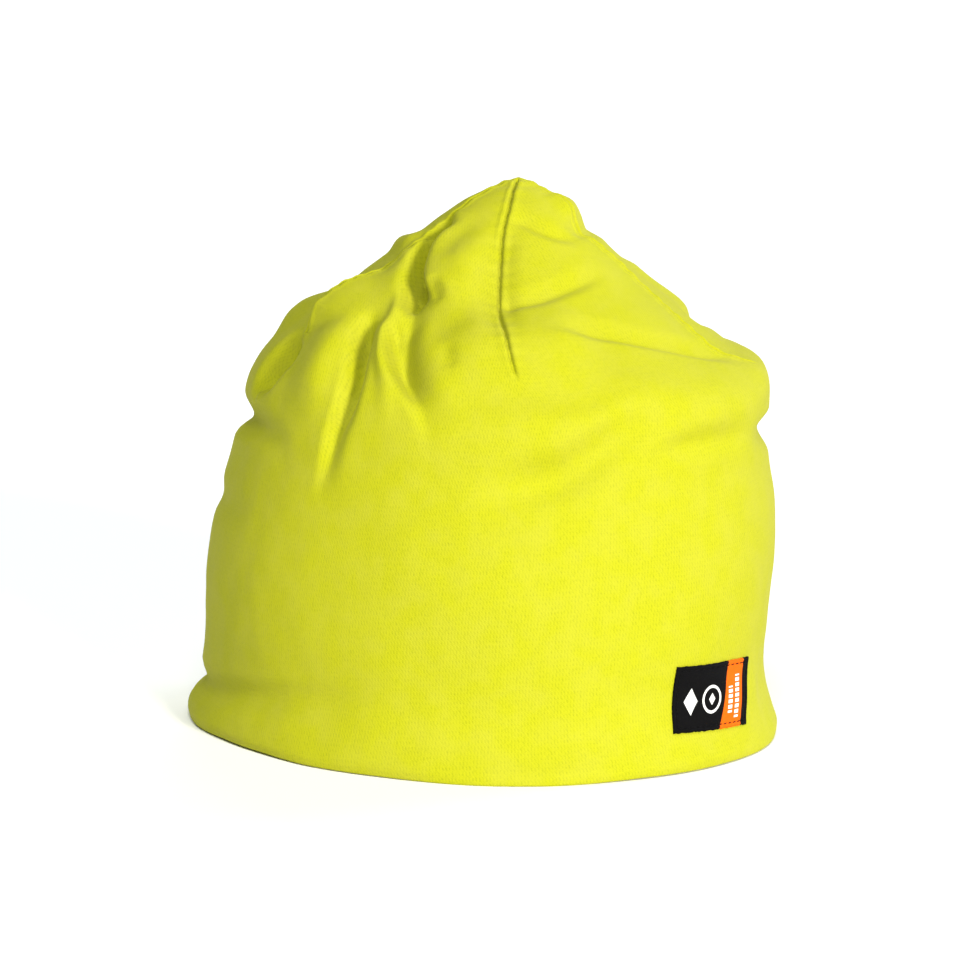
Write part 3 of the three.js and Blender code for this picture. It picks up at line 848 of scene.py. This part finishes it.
@dataclass(frozen=True)
class SewingThread:
    """Twisted polyester sewing thread, black: fine slanting plies with a faint shine."""

    colour: str = "#060607"
    highlight: str = "#131316"
    ply: float = 0.35
    relief: float = 0.04
    strength: float = 0.8
    highlight_step: tuple = (0.35, 0.7)
    roughness: float = 0.75
    specular: float = 0.06

    def build(self) -> bpy.types.Material:
        """Make the material.

        Returns:
            The material.
        """
        material, shader, pattern = new_material("sewing_thread")
        plies = pattern.cloudy(self.ply)
        # painted highlight: the raised plies take the paler highlight colour
        colour = pattern.mix(pattern.step(plies, *self.highlight_step), linear(self.colour),
                             linear(self.highlight))
        finish_surface(material, colour, plies, self.relief, self.strength)
        shader.inputs["Roughness"].default_value = self.roughness
        shader.inputs["Specular IOR Level"].default_value = self.specular
        return material


@dataclass(frozen=True)
class MattPaper:
    """Matt white background paper: even, without shine, and very slightly clouded."""

    colour: str = "#FFFFFF"
    cloud: str = "#FCFCFC"
    cloud_size: float = 400.0
    roughness: float = 0.95
    specular: float = 0.1

    def build(self) -> bpy.types.Material:
        """Make the material.

        Returns:
            The material.
        """
        material, shader, pattern = new_material("matt_paper")
        colour = pattern.mix(pattern.cloudy(self.cloud_size), linear(self.colour), linear(self.cloud))
        material.node_tree.links.new(colour, shader.inputs["Base Color"])
        shader.inputs["Roughness"].default_value = self.roughness
        shader.inputs["Specular IOR Level"].default_value = self.specular
        return material



# Pieces


class Face(Enum):
    """Faces of the doubled cloth."""

    OUTSIDE = "outside"
    FOOT = "foot"
    INSIDE = "inside"


@dataclass(frozen=True)
class Row:
    """Row of the crown's net.

    rise is the length of cloth below it, inset how far it stands in from the outer face, lower how
    far it hangs below its rise, as the foot's roll does, and face the face that it is part of.
    """

    rise: float
    inset: float
    lower: float
    face: Face


@dataclass(frozen=True)
class Band:
    """Rows of the net up to a rise, a step apart."""

    up_to: float
    step: float


def finish_piece(net: bmesh.types.BMesh, name: str, material: bpy.types.Material) -> bpy.types.Object:
    """Turn a bmesh into a smooth-shaded object of the part.

    Args:
        net: The shaped bmesh, which is freed.
        name: The piece's name.
        material: Its finish.

    Returns:
        The object, riding on the part's body.
    """
    if net.calc_volume(signed=True) < 0:
        bmesh.ops.reverse_faces(net, faces=net.faces[:])
    for face in net.faces:
        face.smooth = True
    mesh = bpy.data.meshes.new(name)
    net.to_mesh(mesh)
    net.free()
    mesh.materials.append(material)
    piece = bpy.data.objects.new(name, mesh)
    bpy.context.scene.collection.objects.link(piece)
    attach(piece, BODY)
    log.info("%s: %d faces", name, len(mesh.polygons))
    return piece


@dataclass(frozen=True)
class Crown:
    """The cap itself: two layers of jersey as one wall, with its seams, folds and rolled hem.

    outside and inside give the rows of the net, column_step the degrees between its columns and
    seam_columns those beside a seam. A seam is a groove, seam_depth deep, between two low lips, in
    cloth that puckers every pucker_pitch; pucker_drift shifts the puckers slowly along it.
    """

    shape: CapShape
    wall: float = 2.8
    foot_rows: int = 6
    outside: tuple = (Band(8, 0.8), Band(92, 2.0), Band(226, 1.25), Band(230, 1.0))
    inside: tuple = (Band(24, 8), Band(84, 12), Band(220, 8), Band(228, 4))
    column_step: float = 0.84
    seam_columns: tuple = (0.0, 0.22, 0.45, 0.75, 1.1, 1.6, 2.2)
    seam_depth: float = 1.5
    seam_half: float = 0.5
    lip_height: float = 0.35
    lip_place: float = 1.6
    lip_half: float = 0.9
    pucker_height: float = 0.22
    pucker_pitch: float = 5.2
    pucker_reach: float = 5.0
    pucker_drift: float = 0.21
    seam_fade: float = 6.0
    weld: float = 1e-6

    def rows(self) -> list:
        """List the net's rows.

        Returns:
            The rows from the tip down outside, round the foot and up inside.
        """
        outside = [Row(rise, 0.0, 0.0, Face.OUTSIDE) for rise in self._rises(self.outside)]
        radius = self.wall / 2
        foot = [
            Row(radius, radius * (1 - math.cos(angle)), radius * math.sin(angle), Face.FOOT)
            for angle in np.linspace(0, math.pi, self.foot_rows + 2)
        ]
        inside = [Row(rise, self.wall, 0.0, Face.INSIDE) for rise in self._rises(self.inside)]
        tip = self.shape.tip
        return ([Row(tip, 0.0, 0.0, Face.OUTSIDE)] + outside[::-1] + foot + inside
                + [Row(tip, self.wall, 0.0, Face.INSIDE)])

    def _rises(self, bands: tuple) -> list:
        """List the rises of the rows in some bands.

        Args:
            bands: The bands, from the foot's roll up.

        Returns:
            The rises, lowest first.
        """
        rises = []
        start = self.wall / 2
        for band in bands:
            count = round((band.up_to - start) / band.step)
            rises += [start + (band.up_to - start) * i / count for i in range(1, count + 1)]
            start = band.up_to
        return rises

    def turns(self) -> np.ndarray:
        """List the turns of the net's columns.

        Returns:
            The turns in order round the cap, closer together beside the seams.
        """
        turns = []
        darts = self.shape.darts
        for dart, following in zip(darts, darts[1:] + darts[:1]):
            start = dart.turn + self.seam_columns[-1]
            end = dart.turn + (following.turn - dart.turn) % FULL_TURN - self.seam_columns[-1]
            count = round((end - start) / self.column_step)
            turns += [dart.turn - offset for offset in self.seam_columns[:0:-1]]
            turns += [dart.turn + offset for offset in self.seam_columns]
            turns += [start + (end - start) * i / count for i in range(1, count)]
        return np.array(turns)

    def _seams(self, turn: np.ndarray, rise: np.ndarray) -> np.ndarray:
        """Work out the seams' grooves, lips and puckers.

        Args:
            turn: Turns of the net's columns before they bend.
            rise: Rises of the places.

        Returns:
            How far each place stands out.
        """
        total = np.zeros(len(turn))
        for dart in self.shape.darts:
            away = np.abs(turn_between(dart.turn, turn)) * self.shape.per_degree(rise)
            grown = (ease((rise - dart.foot) / self.seam_fade)
                     * ease((self.shape.tip - rise) / self.seam_fade))
            groove = -self.seam_depth * np.exp(-((away / self.seam_half) ** 2))
            lip = self.lip_height * np.exp(-(((away - self.lip_place) / self.lip_half) ** 2))
            beat = np.sin(rise * math.tau / self.pucker_pitch + np.sin(rise * self.pucker_drift + dart.turn))
            pucker = self.pucker_height * beat * np.exp(-((away / self.pucker_reach) ** 2))
            total += grown * (groove + lip + pucker)
        return total

    def build(self, material: bpy.types.Material) -> bpy.types.Object:
        """Model the crown and dress it.

        Args:
            material: The jersey.

        Returns:
            The piece, which stands for the node crown.
        """
        rows, turns = self.rows(), self.turns()
        net = bmesh.new()
        row_of = net.verts.layers.int.new("row")
        self._spin_profile(net, row_of, rows, len(turns))
        self._place(net, row_of, rows, turns)
        self._map_knit(net, row_of, rows, turns)
        piece = finish_piece(net, "crown_jersey", material)
        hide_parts("crown")
        return piece

    def _spin_profile(self, net: bmesh.types.BMesh, row_of: object, rows: list, steps: int) -> None:
        """Draw the plain wall's profile point by point and spin it into a closed wall.

        Args:
            net: The empty bmesh.
            row_of: Its layer that keeps the number of each corner's row.
            rows: The net's rows.
            steps: Number of columns.
        """
        last = None
        for number, row in enumerate(rows):
            _, across = self.shape.halves(row.rise)
            radius = max(float(across) - row.inset, 0.0)
            place = Vector((radius, 0.0, float(self.shape.value("height", row.rise)) - row.lower)) * MM
            if last is None:
                last = net.verts.new(place)
            else:
                last = bmesh.ops.extrude_vert_indiv(net, verts=[last])["verts"][0]
                last.co = place
            last[row_of] = number
        bmesh.ops.spin(net, geom=net.verts[:] + net.edges[:], cent=(0, 0, 0), axis=(0, 0, 1),
                       angle=math.tau, steps=steps, use_merge=True)

    def _columns(self, net: bmesh.types.BMesh, count: int) -> np.ndarray:
        """Number the column of each corner from its place round the axis."""
        angles = np.array([math.atan2(corner.co.y, corner.co.x) for corner in net.verts])
        return np.round(angles / math.tau * count).astype(int) % count

    def _place(self, net: bmesh.types.BMesh, row_of: object, rows: list, turns: np.ndarray) -> None:
        """Move each corner of the spun wall to its place on the folded cloth.

        Args:
            net: The spun wall.
            row_of: Its layer of row numbers.
            rows: The net's rows.
            turns: Turns of the net's columns.
        """
        column_of = net.verts.layers.int.new("column")
        columns = self._columns(net, len(turns))
        for corner, column in zip(net.verts, columns):
            corner[column_of] = int(column)
        numbers = np.array([corner[row_of] for corner in net.verts])
        rise = np.array([row.rise for row in rows])[numbers]
        inset = np.array([row.inset for row in rows])[numbers]
        lower = np.array([row.lower for row in rows])[numbers]
        outer = np.array([row.face is Face.OUTSIDE for row in rows])[numbers]
        turn = turns[columns]
        bent = self.shape.column_turn(turn, rise)
        off = np.where(outer, self._seams(turn, rise), 0.0) - inset
        points = self.shape.cloth(bent, rise, off)
        points[:, 2] = np.maximum(points[:, 2] - lower, 0.0)
        for corner, point in zip(net.verts, points * MM):
            corner.co = point
        bmesh.ops.remove_doubles(net, verts=net.verts[:], dist=self.weld)

    def _map_knit(self, net: bmesh.types.BMesh, row_of: object, rows: list, turns: np.ndarray) -> None:
        """Lay the knit's map over the cloth: wales upright in each panel, cut off at the darts.

        Args:
            net: The wall on its place.
            row_of: Its layer of row numbers.
            rows: The net's rows.
            turns: Turns of the net's columns.
        """
        column_of = net.verts.layers.int["column"]
        knit = net.loops.layers.uv.new("knit")
        count = len(turns)
        round_turns = np.append(turns, turns[0] + FULL_TURN)
        ring = self.shape.plain(round_turns, np.full(count + 1, self.shape.darts[0].foot / 2))
        arc = np.concatenate([[0.0], np.cumsum(np.linalg.norm(np.diff(ring, axis=0), axis=1))])
        # a whole number of wales round the cap, so that the map meets itself
        arc *= round(arc[-1] / Jersey.wale) * Jersey.wale / arc[-1]
        seams = [int(np.argmin(np.abs(turn_between(dart.turn, turns)))) for dart in self.shape.darts]
        foot = min(dart.foot for dart in self.shape.darts)
        whole = float(self.shape.per_degree(foot))
        share = [min(1.0, float(self.shape.per_degree(max(row.rise, foot))) / whole) for row in rows]
        edges = sorted(seams)
        for face in net.faces:
            columns = [corner[column_of] for corner in face.verts]
            wraps = max(columns) - min(columns) > count / 2
            middle = sum(c + count if wraps and c < count / 2 else c for c in columns) / len(columns)
            low, high = self._panel(edges, middle, count)
            centre = (self._arc_at(arc, low) + self._arc_at(arc, high)) / 2
            for loop in face.loops:
                column = loop.vert[column_of]
                while column < low - 0.5:
                    column += count
                number = loop.vert[row_of]
                reach = self._arc_at(arc, column) - centre
                u = centre + reach * share[number]
                loop[knit].uv = (u * MM, (rows[number].rise - rows[number].lower) * MM)

    @staticmethod
    def _panel(edges: list, middle: float, count: int) -> tuple:
        """Find the seam columns on either side of a face.

        Args:
            edges: Numbers of the seam columns, lowest first.
            middle: Middle of the face's columns.
            count: Number of columns round the cap.

        Returns:
            The column before the face and the one after it.
        """
        for low, high in zip(edges, edges[1:] + [edges[0] + count]):
            if low <= middle < high:
                return low, high
        return edges[-1] - count, edges[0]

    @staticmethod
    def _arc_at(arc: np.ndarray, column: int) -> float:
        """Measure the cloth round the cap up to a column, also past a full turn."""
        count = len(arc) - 1
        return float(arc[column % count] + arc[-1] * (column // count))


@dataclass(frozen=True)
class Patch:
    """Small woven patch near the front of the hem, sewn on along its edge.

    turn, rise and tilt place it on the cloth, and lean shifts its top towards the wearer's left at
    that end. Its thickness falls to edge_share at the edge and by dip_share along the stitches.
    """

    shape: CapShape
    width: float = 36.0
    height: float = 22.5
    thick: float = 0.7
    gap: float = 0.25
    turn: float = -11.7
    rise: float = 23.3
    tilt: float = -4.2
    lean: float = 0.18
    cells_across: int = 72
    cells_up: int = 46
    fray: float = 0.22
    fray_beat: float = 1.3
    edge_zone: float = 0.49
    edge_round: float = 0.5
    edge_share: float = 0.35
    dip_share: float = 0.35
    dip_half: float = 0.5
    stitch_inset: float = 1.5
    stitch_length: float = 1.9
    stitch_pitch: float = 2.5
    stitch_width: float = 0.42
    stitch_slant: float = 0.12
    stitch_level: float = 0.75
    stitch_sides: int = 6

    def _bend(self, net: bmesh.types.BMesh) -> None:
        """Bend a flat net onto the cloth.

        Args:
            net: The net, its corners in millimetres on the patch.
        """
        flat = np.array([corner.co for corner in net.verts])
        flat[:, 0] += self.lean * flat[:, 1] * ease(flat[:, 0] / self.width + 0.5)
        tilt = math.radians(self.tilt)
        across = flat[:, 0] * math.cos(tilt) - flat[:, 1] * math.sin(tilt)
        rise = self.rise + flat[:, 0] * math.sin(tilt) + flat[:, 1] * math.cos(tilt)
        sides = self.shape.plain(np.array([self.turn + 0.5, self.turn - 0.5]), np.full(2, self.rise))
        per_degree = float(np.linalg.norm(sides[0] - sides[1]))
        points = self.shape.cloth(self.turn + across / per_degree, rise, self.gap + flat[:, 2])
        for corner, point in zip(net.verts, points * MM):
            corner.co = point

    def build(self, material: bpy.types.Material) -> bpy.types.Object:
        """Model the patch and dress it.

        Args:
            material: The woven polyester.

        Returns:
            The piece, which stands for the node label.
        """
        net = bmesh.new()
        bmesh.ops.create_grid(net, x_segments=self.cells_across, y_segments=self.cells_up, size=0.5)
        bmesh.ops.scale(net, vec=(self.width, self.height, 1.0), verts=net.verts[:])
        weave = net.loops.layers.uv.new("weave")
        for face in net.faces:
            for loop in face.loops:
                loop[weave].uv = loop.vert.co.xy * MM
        self._fray(net)
        top = bmesh.ops.extrude_face_region(net, geom=net.faces[:])["geom"]
        lifted = [item for item in top if isinstance(item, bmesh.types.BMVert)]
        for corner in lifted:
            corner.co.z = self.thick * self._rounding(corner.co)
        self._bend(net)
        piece = finish_piece(net, "label_weave", material)
        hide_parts("label")
        return piece

    def _fray(self, net: bmesh.types.BMesh) -> None:
        """Make the cut edge slightly uneven.

        Args:
            net: The flat net.
        """
        for corner in net.verts:
            if corner.is_boundary:
                ragged = noise.noise(corner.co * self.fray_beat) * self.fray
                if abs(corner.co.x) > self.width * self.edge_zone:
                    corner.co.x += math.copysign(ragged, corner.co.x)
                if abs(corner.co.y) > self.height * self.edge_zone:
                    corner.co.y += ragged

    def _rounding(self, place: Vector) -> float:
        """Work out the patch's thickness at a place.

        Args:
            place: The place on the flat patch.

        Returns:
            Share of the full thickness.
        """
        inside = min(self.width / 2 - abs(place.x), self.height / 2 - abs(place.y))
        edge = self.edge_share + (1 - self.edge_share) * float(ease(np.array(inside / self.edge_round)))
        dip = math.exp(-(((inside - self.stitch_inset) / self.dip_half) ** 2))
        return edge * (1 - self.dip_share * dip)

    def stitches(self, material: bpy.types.Material) -> bpy.types.Object:
        """Sew the patch on with a running line of short stitches.

        Args:
            material: The sewing thread.

        Returns:
            The stitches, joined to one piece.
        """
        net = bmesh.new()
        half_x = self.width / 2 - self.stitch_inset
        half_y = self.height / 2 - self.stitch_inset
        corners = [Vector(corner) for corner in
                   ((-half_x, -half_y), (half_x, -half_y), (half_x, half_y), (-half_x, half_y))]
        for start, end in zip(corners, corners[1:] + corners[:1]):
            run = end - start
            count = round(run.length / self.stitch_pitch)
            for number in range(count):
                middle = start + run * (number + 0.5) / count
                self._stitch(net, middle, math.atan2(run.y, run.x))
        self._bend(net)
        return finish_piece(net, "label_stitches", material)

    def _stitch(self, net: bmesh.types.BMesh, middle: Vector, direction: float) -> None:
        """Add one stitch, a long bead sunk partly into the patch.

        Args:
            net: The stitches' bmesh.
            middle: The stitch's middle on the flat patch.
            direction: Direction of the seam in radians.
        """
        made = bmesh.ops.create_uvsphere(net, u_segments=self.stitch_sides, v_segments=self.stitch_sides,
                                         radius=0.5)["verts"]
        bmesh.ops.scale(net, vec=(self.stitch_length, self.stitch_width, self.stitch_width), verts=made)
        turned = Matrix.Rotation(direction + self.stitch_slant, 3, "Z")
        bmesh.ops.rotate(net, cent=(0, 0, 0), verts=made, matrix=turned)
        bmesh.ops.translate(net, vec=(middle.x, middle.y, self.thick * self.stitch_level), verts=made)


# Studio


@dataclass(frozen=True)
class Lamp:
    """Soft distant lamp: its direction round the object, height, strength, softness and colour."""

    name: str
    turn: float
    height: float
    strength: float
    softness: float
    colour: str = "#FFFFFF"


@dataclass(frozen=True)
class Studio:
    """Plain pale floor, soft light and the camera at the photograph's angle.

    aim is the level that the camera looks at. world is the strength of the even light from all sides.
    """

    camera_turn: float = -60.0
    camera_height: float = 13.5
    camera_distance: float = 1400.0
    pixels_per_mm: float = 2.9
    frame_pixels: float = 960.0
    aim: float = 83.3
    sensor: float = 36.0
    clip_start: float = 0.05
    clip_end: float = 60.0
    floor_half: float = 9.0
    world: float = 0.12
    sky: str = "#E6FFFF"
    lamps: tuple = field(default=(
        Lamp("key", -31.0, 14.0, 4.1, 12.0, "#FFF8EC"),
        Lamp("top", -66.0, 52.0, 2.5, 30.0, "#FFFFFA"),
        Lamp("back", 100.0, 40.0, 0.9, 40.0, "#FFFFFF"),
        Lamp("fill", 62.0, 20.0, 1.2, 25.0, "#E2E6FF"),
    ))

    @staticmethod
    def direction(turn: float, height: float) -> Vector:
        """Point from the object towards a place round it, in degrees."""
        a, e = math.radians(turn), math.radians(height)
        return Vector((math.sin(a) * math.cos(e), -math.cos(a) * math.cos(e), math.sin(e)))

    def camera(self) -> None:
        """Place the camera where the photograph was taken from."""
        camera = bpy.data.cameras.new("camera")
        camera.sensor_width = self.sensor
        camera.lens = self.pixels_per_mm * self.camera_distance / self.frame_pixels * self.sensor
        camera.clip_start, camera.clip_end = self.clip_start, self.clip_end
        body = bpy.data.objects.new("camera", camera)
        bpy.context.scene.collection.objects.link(body)
        body.location = self.direction(self.camera_turn, self.camera_height) * self.camera_distance * MM
        line = Vector((0.0, 0.0, self.aim * MM)) - body.location
        body.rotation_euler = line.to_track_quat("-Z", "Y").to_euler()
        bpy.context.scene.camera = body

    def lights(self) -> None:
        """Hang the lamps and light the room evenly."""
        for lamp in self.lamps:
            light = bpy.data.lights.new(lamp.name, "SUN")
            light.energy = lamp.strength
            light.angle = math.radians(lamp.softness)
            light.color = linear(lamp.colour)[:3]
            body = bpy.data.objects.new(lamp.name, light)
            bpy.context.scene.collection.objects.link(body)
            back = self.direction(lamp.turn, lamp.height)
            body.location = back
            body.rotation_euler = (-back).to_track_quat("-Z", "Y").to_euler()
        world = bpy.data.worlds.new("room")
        world.use_nodes = True
        world.node_tree.nodes["Background"].inputs["Strength"].default_value = self.world
        world.node_tree.nodes["Background"].inputs["Color"].default_value = linear(self.sky)
        bpy.context.scene.world = world

    def floor(self, material: bpy.types.Material) -> None:
        """Lay the floor.

        Args:
            material: The background paper.
        """
        net = bmesh.new()
        bmesh.ops.create_grid(net, x_segments=4, y_segments=4, size=self.floor_half)
        mesh = bpy.data.meshes.new("floor")
        net.to_mesh(mesh)
        net.free()
        mesh.materials.append(material)
        floor = bpy.data.objects.new("floor", mesh)
        bpy.context.scene.collection.objects.link(floor)


def main() -> None:
    """Build the beanie and the studio round it."""
    logging.basicConfig(level=logging.INFO, format="%(message)s")
    bpy.context.scene.view_settings.view_transform = "Standard"
    studio = Studio()
    studio.camera()
    studio.lights()
    studio.floor(MattPaper().build())
    shape = CapShape(SECTIONS, DARTS, FOLDS)
    Crown(shape).build(Jersey().build())
    patch = Patch(shape)
    patch.build(WovenPolyester().build())
    patch.stitches(SewingThread().build())


if __name__ == "__main__":
    main()
